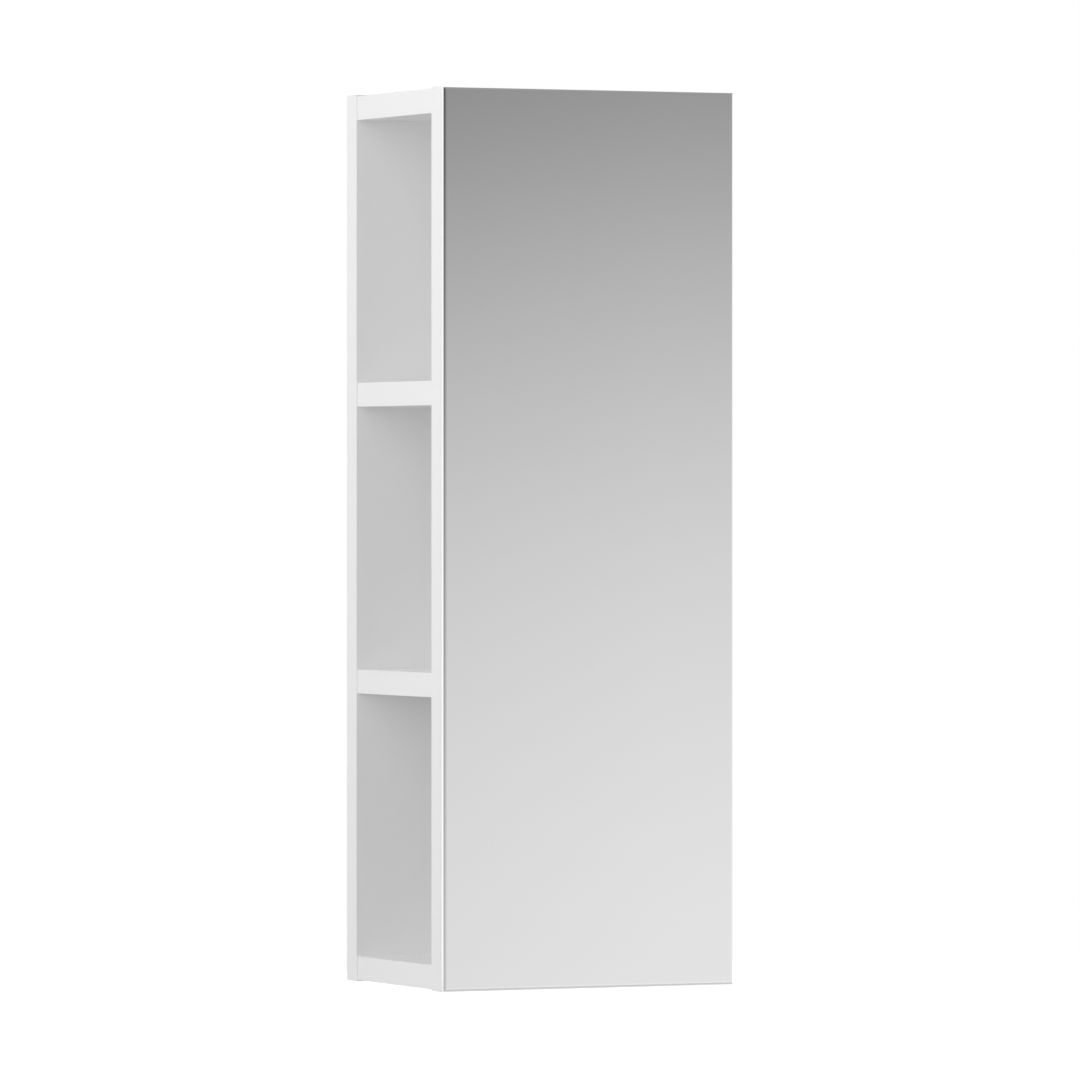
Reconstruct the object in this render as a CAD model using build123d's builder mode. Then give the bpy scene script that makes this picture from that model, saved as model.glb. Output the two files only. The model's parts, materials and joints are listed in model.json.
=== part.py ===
from build123d import *
import os

os.makedirs("parts", exist_ok=True)

# Mirror cabinet for a bathroom wall: a white board carcass with three niches that are open at the
# left, a wider back panel, and a mirrored door over the whole front that hinges at the right.
# Millimetres. X points right, Y points to the wall and Z points up. The wall is at y = 0, and the
# origin is the middle of the back panel's rear face.

# Panels
width = 250.0  # door and back panel
height = 700.0
back_thickness = 19.0
carcass_depth = 144.0
board_thickness = 19.0  # side, top, bottom and shelves
shelf_count = 2
carcass_inset = 1.0  # how far the carcass stands back from the door's and back panel's edges
edge_round = 0.4

# Door
door_gap = 1.5
door_thickness = 18.0
tape_thickness = 0.5
tape_width = 20.0
tape_end_margin = 30.0
tape_pitch = 85.0
glass_thickness = 4.0
glass_bevel_width = 2.6
glass_bevel_depth = 1.2

# Joints between the boards and the side panel
dowel_radius = 4.0
dowel_length = 30.0
side_bore_depth = 10.0
dowel_edge_distance = 32.0
cam_radius = 7.5
cam_depth = 12.5
cam_distance = 34.0  # from the board's end to the middle of the cam
cam_bolt_radius = 3.0
cam_bolt_bore = 4.0
cam_cap_radius = 9.0
cam_cap_thickness = 0.8
fit = 0.05  # room around a pin, dowel, screw or insert

# Screws from the back panel into the carcass
back_screw_radius = 2.25
back_screw_head = 4.5
back_screw_length = 50.0
back_screw_margin = 60.0  # from the ends of a board
side_screw_pitch = 230.0

# Keyhole plates, let into the back face
hanger_edge_distance = 35.0  # from the panel's left or right edge to the middle of a plate
hanger_top_margin = 55.0
hanger_width = 20.0
hanger_length = 60.0
hanger_thickness = 2.0
hanger_corner = 3.0
key_entry_radius = 4.75
key_slot_radius = 2.3
key_slot_rise = 11.0  # from the middle of the entry to the middle of the slot's end
key_pocket_depth = 9.0
key_pocket_margin = 1.5
hanger_screw_radius = 1.75
hanger_screw_head = 3.5
hanger_screw_length = 16.0
hanger_screw_inset = 6.0

# Holes through the back panel in the lowest niche, for two screws that stop it from swinging
fixing_spacing = 80.0
fixing_middle = -10.0
fixing_height = 60.0  # above the underside
fixing_radius = 2.5
fixing_head = 5.0

# Hinges
hinge_height = 60.0
hinge_end_distance = 100.0  # from the door's top or bottom to the middle of a hinge
leaf_thickness = 0.7
leaf_width = 19.0
knuckle_radius = 1.5
knuckle_count = 5
knuckle_play = 0.2
pin_radius = 0.8
pin_beyond_edge = 1.6  # from the door's edge to the pin's axis
leaf_screw_radius = 1.25
leaf_screw_head = 1.9
leaf_screw_length = 14.0
leaf_screw_pitch = 20.0
leaf_screw_count = 3

# Magnetic catch and bumpers at the free edge of the door
catch_edge_distance = 20.0
magnet_radius = 5.0
magnet_depth = 4.0
strike_radius = 6.0
strike_depth = 1.0
bumper_edge_distance = 42.0
bumper_radius = 4.0
bumper_play = 0.1

# Planes and edges that follow from these sizes
left = -width / 2
right = width / 2
floor = -height / 2
top = height / 2
carcass_left = left + carcass_inset
carcass_right = right - carcass_inset
carcass_floor = floor + carcass_inset
carcass_top = top - carcass_inset
side_inner = carcass_right - board_thickness
carcass_back = -back_thickness
carcass_front = carcass_back - carcass_depth
door_back = carcass_front - door_gap
door_front = door_back - door_thickness
glass_back = door_front - tape_thickness
glass_front = glass_back - glass_thickness
board_pitch = (carcass_top - carcass_floor - board_thickness) / (shelf_count + 1)
board_middles = [
    carcass_floor + board_thickness / 2 + index * board_pitch for index in range(shelf_count + 2)
]
board_names = ["bottom_panel", "lower_shelf", "upper_shelf", "top_panel"]
depth_middle = (carcass_front + carcass_back) / 2
cam_x = side_inner - cam_distance
dowel_depths = [carcass_front + dowel_edge_distance, carcass_back - dowel_edge_distance]
screw_columns = [carcass_left + back_screw_margin, side_inner - back_screw_margin]
side_middle = (side_inner + carcass_right) / 2
fixing_columns = [fixing_middle - fixing_spacing / 2, fixing_middle + fixing_spacing / 2]
fixing_z = floor + fixing_height
hanger_z = top - hanger_top_margin
key_slot_z = hanger_z + key_slot_rise / 2
key_entry_z = hanger_z - key_slot_rise / 2
catch_x = left + catch_edge_distance
bumper_x = left + bumper_edge_distance
catch_heights = [board_middles[0], board_middles[-1]]
pin_x = right + pin_beyond_edge
pin_y = carcass_front - door_gap / 2
leaf_edge = pin_x - knuckle_radius - knuckle_play
leaf_inner = leaf_edge - leaf_width
leaf_middle = (leaf_inner + leaf_edge) / 2

middle_top = (Align.CENTER, Align.CENTER, Align.MAX)


def block(x_low, x_high, y_low, y_high, z_low, z_high, mode=Mode.ADD):
    """A box between two corners."""
    with Locations(((x_low + x_high) / 2, (y_low + y_high) / 2, (z_low + z_high) / 2)):
        Box(x_high - x_low, y_high - y_low, z_high - z_low, mode=mode)


def bores(places, radius, depth, mode=Mode.SUBTRACT):
    """Cylinders that go in against the normal of each place."""
    with Locations(*places):
        Cylinder(radius, depth, align=middle_top, mode=mode)


def screws(places, radius, head, length, room=0.0, mode=Mode.ADD):
    """Countersunk screws, head level with the face, or with room their holes."""
    with Locations(*places):
        Cylinder(radius + room, length + room, align=middle_top, mode=mode)
        Cone(radius + room, head + room, head - radius, align=middle_top, mode=mode)


def facing_wall(x, y, z):
    return Plane(origin=(x, y, z), z_dir=(0, 1, 0))


def facing_front(x, y, z):
    return Plane(origin=(x, y, z), z_dir=(0, -1, 0))


def facing_right(x, y, z):
    return Plane(origin=(x, y, z), z_dir=(1, 0, 0))


def facing_left(x, y, z):
    return Plane(origin=(x, y, z), z_dir=(-1, 0, 0))


def facing_down(x, y, z):
    return Plane(origin=(x, y, z), z_dir=(0, 0, -1))


def finish(builder, name):
    builder.part.label = name
    export_step(builder.part, f"parts/{name}.step")


# Places of the repeated fittings
back_screw_places = [facing_wall(x, 0, z) for z in board_middles for x in screw_columns]
back_screw_places += [facing_wall(side_middle, 0, index * side_screw_pitch) for index in (-1, 0, 1)]
hanger_places = [left + hanger_edge_distance, right - hanger_edge_distance]
hanger_screw_offset = hanger_length / 2 - hanger_screw_inset
hanger_screw_places = [
    facing_wall(x, 0, hanger_z + sign * hanger_screw_offset) for x in hanger_places for sign in (-1, 1)
]
hinge_heights = {"lower": floor + hinge_end_distance, "upper": top - hinge_end_distance}
leaf_screw_offsets = [
    (index - (leaf_screw_count - 1) / 2) * leaf_screw_pitch for index in range(leaf_screw_count)
]
frame_leaf_screw_places = [
    facing_front(leaf_middle, carcass_front - leaf_thickness, middle + offset)
    for middle in hinge_heights.values()
    for offset in leaf_screw_offsets
]
door_leaf_screw_places = [
    facing_wall(leaf_middle, door_back + leaf_thickness, middle + offset)
    for middle in hinge_heights.values()
    for offset in leaf_screw_offsets
]
dowel_places = [(y, z) for z in board_middles for y in dowel_depths]

# Back panel
with BuildPart() as back_panel:
    block(left, right, carcass_back, 0, floor, top)
    fillet(back_panel.edges(), edge_round)
    screws(back_screw_places, back_screw_radius, back_screw_head, back_screw_length, fit, Mode.SUBTRACT)
    for x in hanger_places:
        recess_half = hanger_width / 2 + fit
        recess_reach = hanger_length / 2 + fit
        block(
            x - recess_half, x + recess_half, -hanger_thickness, 0,
            hanger_z - recess_reach, hanger_z + recess_reach, Mode.SUBTRACT,
        )
        pocket_half = key_entry_radius + key_pocket_margin
        block(
            x - pocket_half, x + pocket_half, -hanger_thickness - key_pocket_depth, 0,
            key_entry_z - pocket_half, key_slot_z + pocket_half, Mode.SUBTRACT,
        )
    screws(
        hanger_screw_places, hanger_screw_radius, hanger_screw_head, hanger_screw_length, fit, Mode.SUBTRACT
    )
    fixing_places = [facing_front(x, carcass_back, fixing_z) for x in fixing_columns]
    screws(fixing_places, fixing_radius, fixing_head, back_thickness, 0.0, Mode.SUBTRACT)
finish(back_panel, "back_panel")

# Side panel, at the hinge side
with BuildPart() as side_panel:
    block(side_inner, carcass_right, carcass_front, carcass_back, carcass_floor, carcass_top)
    screws(back_screw_places, back_screw_radius, back_screw_head, back_screw_length, fit, Mode.SUBTRACT)
    bores(
        [facing_left(side_inner, y, z) for y, z in dowel_places], dowel_radius + fit, side_bore_depth + fit
    )
    bores(
        [facing_left(side_inner, depth_middle, z) for z in board_middles],
        cam_bolt_radius + fit,
        side_bore_depth + fit,
    )
    screws(
        frame_leaf_screw_places, leaf_screw_radius, leaf_screw_head, leaf_screw_length, fit, Mode.SUBTRACT
    )
finish(side_panel, "side_panel")

# Bottom, two shelves and top
for name, middle in zip(board_names, board_middles):
    with BuildPart() as board:
        underside = middle - board_thickness / 2
        block(carcass_left, side_inner, carcass_front, carcass_back, underside, underside + board_thickness)
        fillet(board.faces().sort_by(Axis.X)[0].edges(), edge_round)
        screws(back_screw_places, back_screw_radius, back_screw_head, back_screw_length, fit, Mode.SUBTRACT)
        bores(
            [facing_right(side_inner, y, middle) for y in dowel_depths],
            dowel_radius + fit,
            dowel_length - side_bore_depth + fit,
        )
        bores([facing_right(side_inner, depth_middle, middle)], cam_bolt_bore, cam_distance)
        bores([facing_down(cam_x, depth_middle, underside)], cam_radius + fit, cam_depth + fit)
        if middle in catch_heights:
            bores([facing_front(catch_x, carcass_front, middle)], magnet_radius + fit, magnet_depth + fit)
    finish(board, name)

# Dowels
with BuildPart() as dowels:
    bores(
        [facing_right(side_inner + side_bore_depth, y, z) for y, z in dowel_places],
        dowel_radius,
        dowel_length,
        Mode.ADD,
    )
finish(dowels, "dowels")

# Cams, the bolts that they pull and the caps that cover them
with BuildPart() as cam_housings:
    bores(
        [facing_down(cam_x, depth_middle, z - board_thickness / 2) for z in board_middles],
        cam_radius,
        cam_depth,
        Mode.ADD,
    )
    bores(
        [facing_right(cam_x + 2 * cam_radius, depth_middle, z) for z in board_middles],
        cam_bolt_radius + fit,
        2 * cam_radius,
    )
finish(cam_housings, "cam_housings")

with BuildPart() as cam_bolts:
    bores(
        [facing_right(side_inner + side_bore_depth, depth_middle, z) for z in board_middles],
        cam_bolt_radius,
        side_bore_depth + cam_distance - fit,
        Mode.ADD,
    )
finish(cam_bolts, "cam_bolts")

with BuildPart() as cam_caps:
    bores(
        [
            facing_down(cam_x, depth_middle, z - board_thickness / 2 - cam_cap_thickness)
            for z in board_middles
        ],
        cam_cap_radius,
        cam_cap_thickness,
        Mode.ADD,
    )
    fillet(cam_caps.edges().filter_by(GeomType.CIRCLE).group_by(Axis.Z)[0], cam_cap_thickness / 2)
finish(cam_caps, "cam_caps")

# Screws that hold the back panel to the carcass
with BuildPart() as back_panel_screws:
    screws(back_screw_places, back_screw_radius, back_screw_head, back_screw_length)
finish(back_panel_screws, "back_panel_screws")

# Keyhole plates and their screws
for name, x in zip(["left_hanger_plate", "right_hanger_plate"], hanger_places):
    with BuildPart() as hanger_plate:
        with BuildSketch(Plane(origin=(x, 0, hanger_z), x_dir=(1, 0, 0), z_dir=(0, -1, 0))):
            RectangleRounded(hanger_width, hanger_length, hanger_corner)
            with Locations((0, -key_slot_rise / 2)):
                Circle(key_entry_radius, mode=Mode.SUBTRACT)
            SlotCenterToCenter(key_slot_rise, 2 * key_slot_radius, rotation=90, mode=Mode.SUBTRACT)
        extrude(amount=hanger_thickness)
        screws(
            hanger_screw_places, hanger_screw_radius, hanger_screw_head, hanger_screw_length, fit, Mode.SUBTRACT
        )
    finish(hanger_plate, name)

with BuildPart() as hanger_screws:
    screws(hanger_screw_places, hanger_screw_radius, hanger_screw_head, hanger_screw_length)
finish(hanger_screws, "hanger_screws")

# Door board, behind the glass
with BuildPart() as door_board:
    block(left, right, door_front, door_back, floor, top)
    fillet(door_board.edges(), edge_round)
    screws(
        door_leaf_screw_places, leaf_screw_radius, leaf_screw_head, leaf_screw_length, fit, Mode.SUBTRACT
    )
    bores([facing_wall(catch_x, door_back, z) for z in catch_heights], strike_radius + fit, strike_depth + fit)
finish(door_board, "door_board")

# Mirror glass with a small bevel round its front
with BuildPart() as mirror_glass:
    block(left, right, glass_front, glass_back, floor, top)
    front_face = mirror_glass.faces().sort_by(Axis.Y)[0]
    chamfer(front_face.edges(), glass_bevel_width, glass_bevel_depth, reference=front_face)
finish(mirror_glass, "mirror_glass")

# Double-sided tape between glass and board
with BuildPart() as mirror_tape_strips:
    for index in (-1, 0, 1):
        tape_x = index * tape_pitch
        block(
            tape_x - tape_width / 2, tape_x + tape_width / 2, glass_back, door_front,
            floor + tape_end_margin, top - tape_end_margin,
        )
finish(mirror_tape_strips, "mirror_tape_strips")

# Magnets in the front edges of top and bottom, and the steel discs that they hold
with BuildPart() as catch_magnets:
    bores([facing_front(catch_x, carcass_front, z) for z in catch_heights], magnet_radius, magnet_depth, Mode.ADD)
finish(catch_magnets, "catch_magnets")

with BuildPart() as strike_discs:
    bores([facing_wall(catch_x, door_back, z) for z in catch_heights], strike_radius, strike_depth, Mode.ADD)
finish(strike_discs, "strike_discs")

# Bumpers on the door's inner face
with BuildPart() as door_bumpers:
    bores(
        [facing_wall(bumper_x, carcass_front - bumper_play, z) for z in catch_heights],
        bumper_radius,
        door_gap - bumper_play,
        Mode.ADD,
    )
finish(door_bumpers, "door_bumpers")

# Hinges: two thin leaves in the gap, with knuckles past the door's edge, on one pin
knuckle_height = hinge_height / knuckle_count
for place, middle in hinge_heights.items():
    hinge_floor = middle - hinge_height / 2
    leaves = {
        "frame": (0, carcass_front - leaf_thickness, carcass_front, frame_leaf_screw_places),
        "door": (1, door_back, door_back + leaf_thickness, door_leaf_screw_places),
    }
    for side, (first, y_low, y_high, leaf_screw_places) in leaves.items():
        with BuildPart() as leaf:
            block(leaf_inner, leaf_edge, y_low, y_high, hinge_floor, hinge_floor + hinge_height)
            for index in range(first, knuckle_count, 2):
                z_low = hinge_floor + index * knuckle_height + knuckle_play / 2
                z_high = hinge_floor + (index + 1) * knuckle_height - knuckle_play / 2
                block(leaf_edge, pin_x, y_low, y_high, z_low, z_high)
                with Locations((pin_x, pin_y, z_high)):
                    Cylinder(knuckle_radius, z_high - z_low, align=middle_top)
            with Locations((pin_x, pin_y, middle)):
                Cylinder(pin_radius + fit, hinge_height + knuckle_play, mode=Mode.SUBTRACT)
            screws(
                leaf_screw_places, leaf_screw_radius, leaf_screw_head, leaf_screw_length, fit, Mode.SUBTRACT
            )
        finish(leaf, f"{place}_hinge_{side}_leaf")
    with BuildPart() as pin:
        with Locations((pin_x, pin_y, middle)):
            Cylinder(pin_radius, hinge_height)
    finish(pin, f"{place}_hinge_pin")

with BuildPart() as frame_leaf_screws:
    screws(frame_leaf_screw_places, leaf_screw_radius, leaf_screw_head, leaf_screw_length)
finish(frame_leaf_screws, "frame_leaf_screws")

with BuildPart() as door_leaf_screws:
    screws(door_leaf_screw_places, leaf_screw_radius, leaf_screw_head, leaf_screw_length)
finish(door_leaf_screws, "door_leaf_screws")
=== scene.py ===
import json
import math
import bpy
import numpy as np
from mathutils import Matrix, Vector


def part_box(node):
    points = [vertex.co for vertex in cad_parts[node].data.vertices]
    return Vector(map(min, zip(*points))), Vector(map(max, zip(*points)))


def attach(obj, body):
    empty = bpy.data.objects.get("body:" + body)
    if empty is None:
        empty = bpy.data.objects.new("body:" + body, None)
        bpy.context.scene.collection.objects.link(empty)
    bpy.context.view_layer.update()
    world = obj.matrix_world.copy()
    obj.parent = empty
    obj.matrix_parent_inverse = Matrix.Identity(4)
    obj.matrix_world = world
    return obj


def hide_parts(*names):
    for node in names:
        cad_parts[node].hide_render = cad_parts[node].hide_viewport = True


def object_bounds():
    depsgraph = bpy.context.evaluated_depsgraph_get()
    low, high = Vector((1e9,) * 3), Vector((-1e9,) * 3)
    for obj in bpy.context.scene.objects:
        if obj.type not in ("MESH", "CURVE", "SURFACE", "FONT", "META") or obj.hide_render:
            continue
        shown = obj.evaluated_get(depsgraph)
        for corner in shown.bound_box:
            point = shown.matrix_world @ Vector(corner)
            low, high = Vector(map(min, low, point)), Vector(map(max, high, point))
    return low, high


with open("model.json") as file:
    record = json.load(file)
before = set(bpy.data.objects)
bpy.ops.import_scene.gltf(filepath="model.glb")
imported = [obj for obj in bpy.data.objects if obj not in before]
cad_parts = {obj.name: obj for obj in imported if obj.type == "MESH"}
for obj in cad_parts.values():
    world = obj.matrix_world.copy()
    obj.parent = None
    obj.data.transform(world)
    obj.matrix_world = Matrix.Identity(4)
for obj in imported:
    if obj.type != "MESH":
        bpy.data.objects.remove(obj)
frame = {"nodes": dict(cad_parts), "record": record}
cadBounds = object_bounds()
print("frame loaded")

# camera: as far away, turned and framed as the photograph's
viewCamera = {
    "imageSide": 1080,  # pixels
    "focal": 8681.9,  # pixels
    "horizon": 490.0,  # pixel row of the level line through the camera
    "place": (-2.858, -6.308, 0.038),
    "turn": 24.70,  # degrees to the right of straight on
    "sensor": 36.0,  # millimetres
    "clipEnd": 100.0,
}


def makeCamera(s):
    camera = bpy.data.cameras.new("camera")
    camera.sensor_width = s["sensor"]
    camera.lens = s["sensor"] * s["focal"] / s["imageSide"]
    camera.shift_y = (s["horizon"] - s["imageSide"] / 2) / s["imageSide"]
    camera.clip_end = s["clipEnd"]
    holder = bpy.data.objects.new("camera", camera)
    bpy.context.scene.collection.objects.link(holder)
    holder.location = s["place"]
    holder.rotation_euler = (math.radians(90), 0, -math.radians(s["turn"]))  # it looks level
    bpy.context.scene.camera = holder


makeCamera(viewCamera)
bpy.context.scene.view_settings.view_transform = "Standard"
print("camera placed")


# a shader value that works in Python expressions
class Value:
    def __init__(self, tree, socket):
        self.tree, self.socket = tree, socket

    def maths(self, operation, first, second):
        node = self.tree.nodes.new("ShaderNodeMath")
        node.operation = operation
        for slot, value in zip(node.inputs, (first, second)):
            if isinstance(value, Value):
                self.tree.links.new(value.socket, slot)
            else:
                slot.default_value = value
        return Value(self.tree, node.outputs[0])

    def __add__(self, other):
        return self.maths("ADD", self, other)

    def __radd__(self, other):
        return self.maths("ADD", other, self)

    def __sub__(self, other):
        return self.maths("SUBTRACT", self, other)

    def __rsub__(self, other):
        return self.maths("SUBTRACT", other, self)

    def __mul__(self, other):
        return self.maths("MULTIPLY", self, other)

    def __rmul__(self, other):
        return self.maths("MULTIPLY", other, self)

    def most(self, other):
        return self.maths("MAXIMUM", self, other)


# a material, and the one method that adds any other node to it
class Finish:
    def __init__(self, name):
        self.block = bpy.data.materials.new(name)
        self.block.use_nodes = True
        self.tree = self.block.node_tree
        self.surface = self.tree.nodes.get("Principled BSDF")

    def add(self, kind, settings=None, inputs=None, output=0):
        node = self.tree.nodes.new("ShaderNode" + kind)
        for key, value in (settings or {}).items():
            setattr(node, key, value)
        for key, value in (inputs or {}).items():
            self.put(node.inputs[key], value)
        return Value(self.tree, node.outputs[output])

    def put(self, slot, value):
        if isinstance(value, Value):
            self.tree.links.new(value.socket, slot)
        else:
            slot.default_value = value

    def place(self):
        return self.add("TexCoord", output="Object")

    def noise(self, where, scale, detail, roughness=0.5):
        inputs = {"Vector": where, "Scale": scale, "Detail": detail, "Roughness": roughness}
        return self.add("TexNoise", {}, inputs)

    def stretch(self, where, scale):
        return self.add("Mapping", {}, {"Vector": where, "Scale": scale})

    def blend(self, mask, first, second):
        inputs = {0: mask, 6: (*first, 1), 7: (*second, 1)}
        return self.add("Mix", {"data_type": "RGBA"}, inputs, output=2)

    def bump(self, height, distance):
        inputs = {"Height": height, "Distance": distance, "Strength": 1.0}
        self.put(self.surface.inputs["Normal"], self.add("Bump", {}, inputs))

    def set(self, **values):
        for key, value in values.items():
            if isinstance(value, tuple) and len(value) == 3:
                value = (*value, 1)
            self.put(self.surface.inputs[key.replace("_", " ")], value)


noiseMean = 0.5  # noise runs from 0 to 1 about this

# sprayed lacquer on the boards: nearly even white, with a faint cloud and orange peel
boardPaint = {
    "light": (0.937, 0.937, 0.937), "shade": (0.924, 0.924, 0.924),
    "cloudScale": 5.0, "cloudDetail": 3.0, "peelScale": 620.0, "peelDetail": 1.0, "peelHeight": 0.00002,
    "roughness": 0.40, "cloudSpread": 0.10, "peelSpread": 0.05, "coat": 0.15, "coatRoughness": 0.25,
}


def makeBoardPaint(s):
    finish = Finish("whiteLacquer")
    where = finish.place()
    cloud = finish.noise(where, s["cloudScale"], s["cloudDetail"])
    peel = finish.noise(where, s["peelScale"], s["peelDetail"])
    uneven = s["cloudSpread"] * (cloud - noiseMean) + s["peelSpread"] * (peel - noiseMean)
    finish.set(
        Base_Color=finish.blend(cloud, s["shade"], s["light"]),
        Roughness=s["roughness"] + uneven,
        Coat_Weight=s["coat"], Coat_Roughness=s["coatRoughness"],
    )
    finish.bump(peel, s["peelHeight"])
    return finish.block


# silvered glass: a clear reflection with a hardly visible film of dust and wipe marks
mirrorGlass = {
    "silver": (0.934, 0.936, 0.936), "film": (0.916, 0.918, 0.918),
    "wipeStretch": (3.0, 3.0, 14.0), "wipeScale": 2.0, "wipeDetail": 4.0, "wipeRough": 0.6,
    "roughness": 0.012, "filmRoughness": 0.018,
}


def makeMirror(s):
    finish = Finish("silveredGlass")
    where = finish.stretch(finish.place(), s["wipeStretch"])
    wipe = finish.noise(where, s["wipeScale"], s["wipeDetail"], s["wipeRough"])
    finish.set(
        Base_Color=finish.blend(wipe, s["silver"], s["film"]),
        Metallic=1.0, Roughness=s["roughness"] + s["filmRoughness"] * wipe,
    )
    return finish.block


# nickel plate, brushed upright along the hinge leaves and plates, with soft blotches
nickelPlate = {
    "light": (0.66, 0.65, 0.63), "dark": (0.52, 0.51, 0.49),
    "grain": (900.0, 900.0, 60.0), "grainDetail": 3.0, "grainShare": 0.6, "grainHeight": 0.00001,
    "blotchScale": 90.0, "blotchDetail": 2.0, "roughness": 0.28, "spread": 0.16,
}


def makeNickel(s):
    finish = Finish("nickelPlate")
    where = finish.place()
    grain = finish.noise(finish.stretch(where, s["grain"]), 1.0, s["grainDetail"])
    blotch = finish.noise(where, s["blotchScale"], s["blotchDetail"])
    mottle = s["grainShare"] * grain + (1 - s["grainShare"]) * blotch
    finish.set(
        Base_Color=finish.blend(mottle, s["dark"], s["light"]),
        Metallic=1.0, Roughness=s["roughness"] + s["spread"] * grain,
    )
    finish.bump(grain, s["grainHeight"])
    return finish.block


# the plain fittings: cast cams, caps, bumpers, tape, dowels and magnets, each with its own grain
smallGrain = {"detail": 3.0, "roughnessSwing": 0.3}
smallFinishes = {
    "castZinc": {"light": (0.50, 0.50, 0.51), "dark": (0.36, 0.36, 0.37), "scale": (400.0,) * 3,
                 "metal": 1.0, "roughness": 0.45, "height": 0.00005},
    "capPlastic": {"light": (0.86, 0.86, 0.85), "dark": (0.82, 0.82, 0.81), "scale": (900.0,) * 3,
                   "metal": 0.0, "roughness": 0.50, "height": 0.00002},
    "bumperRubber": {"light": (0.80, 0.80, 0.78), "dark": (0.70, 0.70, 0.67), "scale": (700.0,) * 3,
                     "metal": 0.0, "roughness": 0.35, "height": 0.00003},
    "foamTape": {"light": (0.80, 0.79, 0.76), "dark": (0.62, 0.61, 0.58), "scale": (1500.0,) * 3,
                 "metal": 0.0, "roughness": 0.85, "height": 0.0001},
    "beechWood": {"light": (0.78, 0.60, 0.41), "dark": (0.62, 0.44, 0.27),
                  "scale": (60.0, 900.0, 900.0), "metal": 0.0, "roughness": 0.60, "height": 0.00006},
    "magnetPlate": {"light": (0.74, 0.74, 0.75), "dark": (0.62, 0.62, 0.64), "scale": (500.0,) * 3,
                    "metal": 1.0, "roughness": 0.18, "height": 0.00001},
}


def makeSmallFinish(name, s):
    finish = Finish(name)
    grain = finish.noise(finish.stretch(finish.place(), s["scale"]), 1.0, smallGrain["detail"])
    swing = smallGrain["roughnessSwing"]
    finish.set(
        Base_Color=finish.blend(grain, s["dark"], s["light"]),
        Metallic=s["metal"], Roughness=s["roughness"] * (1 - swing / 2 + swing * grain),
    )
    finish.bump(grain, s["height"])
    return finish.block


finishes = {name: makeSmallFinish(name, s) for name, s in smallFinishes.items()}
finishes["lacquer"] = makeBoardPaint(boardPaint)
finishes["mirror"] = makeMirror(mirrorGlass)
finishes["nickel"] = makeNickel(nickelPlate)
slotFinish = {
    "white_board": "lacquer", "mirror": "mirror", "steel": "nickel", "cast_zinc": "castZinc",
    "beech": "beechWood", "white_plastic": "capPlastic", "clear_rubber": "bumperRubber",
    "foam_tape": "foamTape", "magnet": "magnetPlate",
}


def dressNode(node, block):
    node.data.materials.clear()
    node.data.materials.append(block)
    for polygon in node.data.polygons:
        polygon.material_index = 0


for row in frame["record"]["subparts"]:
    dressNode(frame["nodes"][row["node"]], finishes[slotFinish[row["material_slot"]]])
print("finishes made")


# the mirror: a pane with a matt ground side, a small polished arris and a shallow arc that runs out
# level with the face, all round. Rectangular rings go from the back over the side and the arris to
# the arc. There each lies the radius times the sine of its turn outside the arc's inner edge, and
# the radius times 1 less the cosine behind the face
mirrorPane = {
    "arrisWidth": 0.0008, "arrisDepth": 0.0018, "arcWidth": 0.0025, "arcTurn": 46.0, "arcSteps": 12,
    "crispRings": 3,  # round the back, the side's front and the arris's inner edge
}
groundEdge = {"light": (0.84, 0.85, 0.85), "dark": (0.76, 0.77, 0.77), "scale": (1400.0,) * 3,
              "metal": 0.0, "roughness": 0.45, "height": 0.00002}
polishedArris = {"light": (1.0, 1.0, 1.0), "dark": (0.97, 0.97, 0.97), "scale": (700.0,) * 3,
                 "metal": 1.0, "roughness": 0.03, "height": 0.000002}


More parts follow.
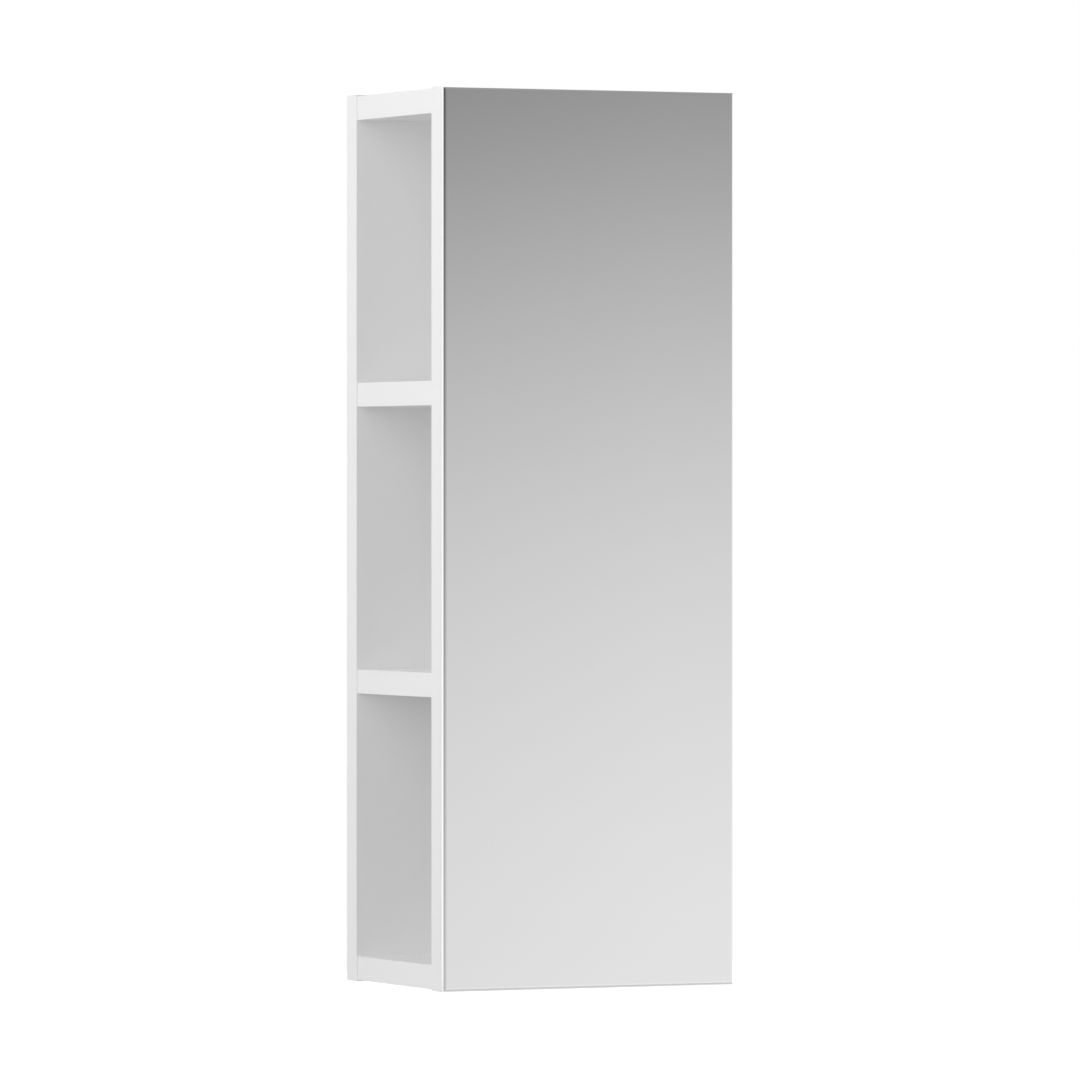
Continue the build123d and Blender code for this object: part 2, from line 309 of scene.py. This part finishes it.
def makeMirrorPane(s):
    low, high = (np.array(corner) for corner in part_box("mirror_glass"))
    turn = np.radians(np.linspace(s["arcTurn"], 0, s["arcSteps"]))
    radius = s["arcWidth"] / math.sin(turn[0])
    setBack = radius * (1 - np.cos(turn))
    inset = np.concatenate([[0, 0], s["arrisWidth"] + s["arcWidth"] - radius * np.sin(turn)])
    depth = low[1] + np.concatenate([[high[1] - low[1], setBack[0] + s["arrisDepth"]], setBack])
    signs = np.array([(-1, -1), (1, -1), (1, 1), (-1, 1)])
    around, rings = len(signs), len(inset)
    middle, half = (low + high) / 2, (high - low) / 2
    x = middle[0] + signs[None, :, 0] * (half[0] - inset[:, None])
    z = middle[2] + signs[None, :, 1] * (half[2] - inset[:, None])
    y = np.repeat(depth[:, None], around, axis=1)
    ring, corner = np.meshgrid(np.arange(rings - 1), np.arange(around), indexing="ij")
    here = ring * around + corner
    after = ring * around + (corner + 1) % around
    sides = np.stack([here, after, after + around, here + around], -1)
    front = (rings - 1) * around
    flat = [(3, 2, 1, 0), (front, front + 1, front + 2, front + 3)]
    faces = flat + sides.reshape(-1, 4).tolist()
    mesh = bpy.data.meshes.new("mirrorPane")
    mesh.from_pydata(np.stack([x, y, z], -1).reshape(-1, 3).tolist(), [], faces)
    mesh.update()
    smooth = np.ones(len(faces), dtype=bool)
    smooth[:len(flat)] = False
    mesh.polygons.foreach_set("use_smooth", smooth)
    ends = np.empty(len(mesh.edges) * 2, dtype=int)
    mesh.edges.foreach_get("vertices", ends)
    ends = np.sort(ends.reshape(-1, 2), axis=1)
    crisp = s["crispRings"] * around
    hard = (ends[:, 1] < crisp) | (ends[:, 1] - ends[:, 0] == around)  # those and the mitres
    sharp = mesh.attributes.new("sharp_edge", "BOOLEAN", "EDGE")
    sharp.data.foreach_set("value", hard)
    pane = bpy.data.objects.new("mirrorPane", mesh)
    bpy.context.scene.collection.objects.link(pane)
    mesh.materials.append(finishes["mirror"])
    bands = (("groundEdge", groundEdge), ("polishedArris", polishedArris))
    for name, look in bands:
        mesh.materials.append(makeSmallFinish(name, look))
    for index, polygon in enumerate(mesh.polygons[len(flat):len(flat) + len(bands) * around]):
        polygon.material_index = 1 + index // around
    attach(pane, "door")
    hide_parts("mirror_glass")


makeMirrorPane(mirrorPane)
print("mirror made")


# each solid is a grid of points, rows along a profile by columns round it, and fans from the middles
# of its first and last rows close it
def meshFromRounds(name, solids):
    points, faces, base = [], [], 0
    for rounds in solids:
        rows, columns = rounds.shape[:2]
        points.append(rounds.reshape(-1, 3))
        ends = np.array([rounds[0].mean(axis=0), rounds[-1].mean(axis=0)])
        points.append(ends)
        row, column = np.meshgrid(np.arange(rows - 1), np.arange(columns), indexing="ij")
        here = row * columns + column
        beside = row * columns + (column + 1) % columns
        sides = np.stack([here, here + columns, beside + columns, beside], -1)
        faces += (sides.reshape(-1, 4) + base).tolist()
        ring = np.arange(columns)
        after = (ring + 1) % columns
        first, last = base + rows * columns, base + rows * columns + 1
        bottom = (rows - 1) * columns
        faces += np.stack([ring * 0 + first, base + ring, base + after], -1).tolist()
        faces += np.stack([ring * 0 + last, base + bottom + after, base + bottom + ring], -1).tolist()
        base += rows * columns + 2
    mesh = bpy.data.meshes.new(name)
    mesh.from_pydata(np.concatenate(points).tolist(), [], faces)
    mesh.update()
    piece = bpy.data.objects.new(name, mesh)
    bpy.context.scene.collection.objects.link(piece)
    return piece


# what all the screws share. Shares are of the head's radius, or of the size that the note names
screwShape = {
    "sides": 24, "headRings": 9, "shankRings": 60, "innerRing": 0.06,
    "recessArm": 0.72, "recessHalf": 0.26,
    "recessWall": 0.45,  # of the arm's half width
    "recessEnd": 0.5,  # of the arm's length
    "threadRunIn": 2.0,  # pitches
    "tip": 0.08,  # of the shank's radius
    "turnStep": 0.9,  # radians, so that no two recesses stand alike
    "headReach": 2.2,  # how far a head's corners lie apart at most, with some to spare
    "sameFace": 0.00001,  # metres
}


# one countersunk screw, head up at the origin: a disc with a cross recess, a cone, then a shank whose
# radius rises and falls once for each pitch along a helix, and a point
def screwRounds(s):
    angles = np.linspace(0, 2 * math.pi, s["sides"], endpoint=False)
    headRadii = np.linspace(s["innerRing"], 1.0, s["headRings"]) * s["head"]
    discR = np.repeat(headRadii[:, None], s["sides"], axis=1)
    x, y = discR * np.cos(angles), discR * np.sin(angles)
    arm, half = s["recessArm"] * s["head"], s["recessHalf"] * s["head"]
    across = np.minimum(np.abs(x), np.abs(y))
    along = np.maximum(np.abs(x), np.abs(y))
    wall = np.clip((half - across) / (s["recessWall"] * half), 0, 1)
    end = np.clip((arm - along) / (s["recessEnd"] * arm), 0, 1)
    discZ = -wall * end * s["recessDepth"]
    coneHeight = s["head"] - s["shank"]
    lengths = np.linspace(coneHeight, s["length"] - s["point"], s["shankRings"])
    turn = lengths[:, None] / s["pitch"] - angles[None, :] / (2 * math.pi)
    ridge = np.abs((turn % 1.0) * 2 - 1)
    fade = np.clip((lengths[:, None] - coneHeight) / (s["threadRunIn"] * s["pitch"]), 0, 1)
    shankR = s["shank"] - s["threadDepth"] * fade * (1 - ridge)
    tipR = np.full((1, s["sides"]), s["tip"] * s["shank"])
    shankZ = np.repeat(-lengths[:, None], s["sides"], axis=1)
    tipZ = np.full((1, s["sides"]), -s["length"])
    radii = np.concatenate([discR, shankR, tipR])
    depths = np.concatenate([discZ, shankZ, tipZ])
    return np.stack([radii * np.cos(angles), radii * np.sin(angles), depths], -1)


screwKinds = {
    "backPanelScrews": {"replaces": "back_panel_screws", "body": "cabinet", "facing": 1,
                        "head": 0.0045, "shank": 0.00225, "length": 0.050, "pitch": 0.0028,
                        "point": 0.004, "threadDepth": 0.0006, "recessDepth": 0.0022},
    "hangerScrews": {"replaces": "hanger_screws", "body": "cabinet", "facing": 1,
                     "head": 0.0035, "shank": 0.00175, "length": 0.016, "pitch": 0.0018,
                     "point": 0.003, "threadDepth": 0.0005, "recessDepth": 0.0017},
    "frameLeafScrews": {"replaces": "frame_leaf_screws", "body": "cabinet", "facing": -1,
                        "head": 0.0019, "shank": 0.00125, "length": 0.014, "pitch": 0.0013,
                        "point": 0.002, "threadDepth": 0.0003, "recessDepth": 0.0010},
    "doorLeafScrews": {"replaces": "door_leaf_screws", "body": "door", "facing": 1,
                       "head": 0.0019, "shank": 0.00125, "length": 0.014, "pitch": 0.0013,
                       "point": 0.002, "threadDepth": 0.0003, "recessDepth": 0.0010},
}


# the middles of the heads of a node's screws, found from its corners on the face that they lie in
def headPlaces(node, s):
    corners = np.empty(len(node.data.vertices) * 3)
    node.data.vertices.foreach_get("co", corners)
    corners = corners.reshape(-1, 3)
    face = corners[:, 1].max() if s["facing"] > 0 else corners[:, 1].min()
    near = corners[np.abs(corners[:, 1] - face) < s["sameFace"]]
    places = []
    while len(near):
        apart = np.hypot(near[:, 0] - near[0, 0], near[:, 2] - near[0, 2])
        close = apart < s["headReach"] * s["head"]
        low, high = near[close].min(axis=0), near[close].max(axis=0)
        places.append(((low[0] + high[0]) / 2, face, (low[2] + high[2]) / 2))
        near = near[~close]
    return places


def makeScrews(name, s):
    rounds = screwRounds(s)
    solids = []
    for index, (x, y, z) in enumerate(headPlaces(frame["nodes"][s["replaces"]], s)):
        turn = s["turnStep"] * index
        across = rounds[..., 0] * math.cos(turn) - rounds[..., 1] * math.sin(turn)
        up = rounds[..., 0] * math.sin(turn) + rounds[..., 1] * math.cos(turn)
        along = rounds[..., 2] * s["facing"]
        solids.append(np.stack([x + across * s["facing"], y + along, z + up], -1)[:, ::-1])
    piece = meshFromRounds(name, solids)
    piece.data.materials.append(finishes["nickel"])
    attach(piece, s["body"])
    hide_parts(s["replaces"])
    print(name, len(solids))


for name, kind in screwKinds.items():
    makeScrews(name, {**screwShape, **kind})
print("screws made")


# light: a tall soft window at the left, a weaker lamp behind at the right and an even fill. The room
# is white to the camera and in reflections
studio = {
    "fill": 0.35, "roomWhite": 1.0, "bounces": 8,
    "lamps": {
        "window": {"place": (-1.85, -0.75, 1.97), "size": (1.65, 4.65), "power": 50.5},
        "backLamp": {"place": (1.60, 1.50, 0.60), "size": (1.80, 2.40), "power": 42.0},
    },
}


def makeLight(s, target):
    for name, lampSet in s["lamps"].items():
        lamp = bpy.data.lights.new(name, "AREA")
        lamp.shape = "RECTANGLE"
        lamp.size, lamp.size_y = lampSet["size"]
        lamp.energy = lampSet["power"]
        holder = bpy.data.objects.new(name, lamp)
        bpy.context.scene.collection.objects.link(holder)
        holder.location = lampSet["place"]
        level = Vector((target[0], target[1], lampSet["place"][2])) - Vector(lampSet["place"])
        holder.rotation_euler = level.to_track_quat("-Z", "Y").to_euler()
        holder.visible_glossy = False
        holder.visible_camera = False
    bpy.context.scene.cycles.diffuse_bounces = s["bounces"]  # white niches stay light inside
    world = bpy.data.worlds.new("room")
    bpy.context.scene.world = world
    world.use_nodes = True
    tree = world.node_tree
    background = tree.nodes["Background"]
    paths = tree.nodes.new("ShaderNodeLightPath").outputs
    seen = Value(tree, paths["Is Camera Ray"]).most(Value(tree, paths["Is Glossy Ray"]))
    seen = seen.most(Value(tree, paths["Is Transmission Ray"]))
    strength = s["fill"] + (s["roomWhite"] - s["fill"]) * seen
    tree.links.new(strength.socket, background.inputs["Strength"])
    background.inputs["Color"].default_value = (1, 1, 1, 1)


# a flat pale floor well below, which keeps the object's shadow. To the camera it glows, and fades to
# white with its distance from the object. In the mirror that glow starts from nothing. From below the
# floor is clear
floorSheet = {
    "height": -1.55, "side": 40.0, "colour": (0.86, 0.86, 0.85), "roughness": 0.9,
    "glow": 0.50, "fade": (2.0, 9.0), "mirroredGlow": 0.0, "mirroredFade": (1.6, 3.0),
}


def makeFloor(s):
    half = s["side"] / 2
    corners = [(-half, -half), (half, -half), (half, half), (-half, half)]
    mesh = bpy.data.meshes.new("floor")
    mesh.from_pydata([(x, y, s["height"]) for x, y in corners], [], [(0, 1, 2, 3)])
    floor = bpy.data.objects.new("floor", mesh)
    bpy.context.scene.collection.objects.link(floor)
    finish = Finish("floorPaint")
    away = finish.add("VectorMath", {"operation": "LENGTH"}, {0: finish.place()}, output="Value")

    def ramp(reach, low, high):
        inputs = {"Value": away, "From Min": reach[0], "From Max": reach[1], "To Min": low, "To Max": high}
        return finish.add("MapRange", {"interpolation_type": "SMOOTHSTEP"}, inputs)

    toCamera = finish.add("LightPath", output="Is Camera Ray")
    toMirror = finish.add("LightPath", output="Is Glossy Ray")
    glow = (toCamera * ramp(s["fade"], s["glow"], 1.0)).most(
        toMirror * ramp(s["mirroredFade"], s["mirroredGlow"], s["glow"]))
    finish.set(
        Base_Color=s["colour"], Roughness=s["roughness"],
        Emission_Color=(1.0, 1.0, 1.0), Emission_Strength=glow,
    )
    under = finish.add("NewGeometry", output="Backfacing")  # nothing hides the object from below
    paint = Value(finish.tree, finish.surface.outputs[0])
    clear = finish.add("BsdfTransparent")
    oneSided = finish.add("MixShader", {}, {0: under, 1: paint, 2: clear})
    finish.put(finish.tree.nodes["Material Output"].inputs["Surface"], oneSided)
    mesh.materials.append(finish.block)


# the room in front of the mirror: part of an upright drum with a roof, which only reflections see. It
# is bright near the floor, turns dimmer with height along an S-curve, and dims evenly round to the
# left, more so higher up. Places are in metres, turns in degrees
mirrorRoom = {
    "radius": 1.6, "from": -172.0, "to": -8.0, "floor": -1.55, "top": 2.6,
    "wallRows": 83, "roofRows": 6, "columns": 84, "roofHole": 0.02,
    "bright": 0.879, "fall": 0.986, "least": 0.33, "turnMiddle": 0.356, "turnReach": 0.274,
    "faceAzimuth": -65.0, "leftReach": 92.0, "leftLoss": 0.70, "leftLossRise": 0.50,
    "leftLossLimits": (0.35, 0.93), "rightGain": 0.0025, "rightLimits": (-10.0, 25.0),
}


def makeMirrorRoom(s):
    columns = s["columns"]
    turn = np.radians(np.linspace(s["from"], s["to"], columns))[None, :]
    wall = np.linspace(s["floor"], s["top"], s["wallRows"])
    roof = np.linspace(s["radius"], s["roofHole"], s["roofRows"] + 1)[1:]
    height = np.concatenate([wall, np.full(len(roof), s["top"])])[:, None]
    radius = np.concatenate([np.full(len(wall), s["radius"]), roof])[:, None]
    places = np.stack(np.broadcast_arrays(radius * np.cos(turn), radius * np.sin(turn), height), -1)
    rows = len(height)
    dimmed = s["fall"] / (1 + np.exp((s["turnMiddle"] - height) / s["turnReach"]))
    away = np.degrees(turn) - s["faceAzimuth"]
    loss = np.clip(s["leftLoss"] + s["leftLossRise"] * height, *s["leftLossLimits"])
    left = 1 - loss * np.clip(-away / s["leftReach"], 0, 1)
    right = 1 + s["rightGain"] * np.clip(away, *s["rightLimits"])
    grey = np.maximum(s["bright"] - dimmed, s["least"]) * left * right
    row, column = np.meshgrid(np.arange(rows - 1), np.arange(columns - 1), indexing="ij")
    first = row * columns + column
    faces = np.stack([first, first + 1, first + columns + 1, first + columns], -1).reshape(-1, 4)
    mesh = bpy.data.meshes.new("mirrorRoom")
    mesh.from_pydata(places.reshape(-1, 3).tolist(), [], faces.tolist())
    glow = mesh.attributes.new("glow", "FLOAT", "POINT")
    glow.data.foreach_set("value", grey.reshape(-1).astype(np.float32))
    drum = bpy.data.objects.new("mirrorRoom", mesh)
    bpy.context.scene.collection.objects.link(drum)
    finish = Finish("mirrorRoom")
    light = finish.add("Attribute", {"attribute_name": "glow"}, output="Fac")
    shine = finish.add("Emission", {}, {"Color": (1, 1, 1, 1), "Strength": light})
    finish.put(finish.tree.nodes["Material Output"].inputs["Surface"], shine)
    mesh.materials.append(finish.block)
    drum.visible_camera = False
    drum.visible_diffuse = False
    drum.visible_transmission = False
    drum.visible_shadow = False


middle = [(low + high) / 2 for low, high in zip(*cadBounds)]
makeLight(studio, middle)
makeFloor(floorSheet)
makeMirrorRoom(mirrorRoom)
print("light made")
